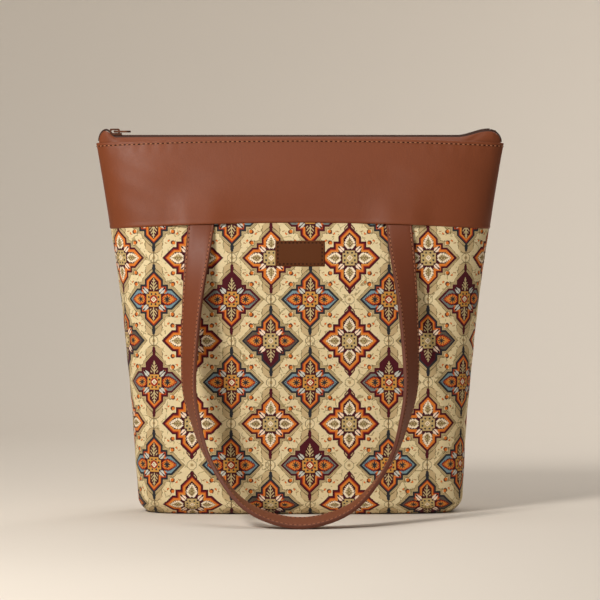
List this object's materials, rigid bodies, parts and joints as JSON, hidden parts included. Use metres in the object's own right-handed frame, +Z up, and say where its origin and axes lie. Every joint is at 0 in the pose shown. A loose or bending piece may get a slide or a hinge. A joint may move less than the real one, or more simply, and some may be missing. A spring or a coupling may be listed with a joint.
{
  "type": "tote bag",
  "caption": "Zip-top tote bag with a patterned fabric body on a boxed base, a leather yoke and long flat leather straps sewn in under it",
  "frame": {"origin": "middle of the base, on the floor that the bag stands on", "axes": "+X across the bag to the viewer's right, -Y out of the front that carries the label, +Z up"},
  "size_m": [0.4068, 0.3956, 0.3825],
  "materials": {
    "fabric": "woven cream cotton blend with a medallion lattice in orange, maroon, charcoal and khaki",
    "leather": "brown grained faux leather, soft sheen",
    "strap": "brown grained faux leather, two layers, stitched edges",
    "label": "dark brown leather, bare",
    "lining": "plain beige woven lining",
    "tape": "dark brown woven zip tape",
    "teeth": "antique brass, dull",
    "metal": "antique brass, worn"
  },
  "bodies": {
    "bag": {"front_panel": "fabric", "back_panel": "fabric", "front_yoke": "leather", "back_yoke": "leather", "front_lining": "lining", "back_lining": "lining", "front_zip_facing": "leather", "back_zip_facing": "leather", "front_zip_tape": "tape", "back_zip_tape": "tape", "front_zip_teeth": "teeth", "back_zip_teeth": "teeth", "zip_end_stops": "metal", "label_patch": "label"},
    "slider": {"zip_slider": "metal"},
    "pull": {"zip_pull": "metal"},
    "front_handle": {"front_strap": "strap"},
    "back_handle": {"back_strap": "strap"}
  },
  "joints": [
    {"name": "zip_slide", "type": "slide", "parent": "bag", "child": "slider", "axis": [1, 0, 0], "range_m": [0, 0.32], "deforming": ["front_zip_teeth", "back_zip_teeth"]},
    {"name": "pull_swing", "type": "hinge", "parent": "slider", "child": "pull", "pos_m": [-0.185, 0, 0.3793], "axis": [0, -1, 0], "range_deg": [0, 150]},
    {"name": "front_strap_swing", "type": "hinge", "parent": "bag", "child": "front_handle", "pos_m": [0, -0.037, 0.2867], "axis": [-1, 0, 0], "range_deg": [0, 155]},
    {"name": "back_strap_swing", "type": "hinge", "parent": "bag", "child": "back_handle", "pos_m": [0, 0.037, 0.2867], "axis": [1, 0, 0], "range_deg": [0, 155]}
  ]
}
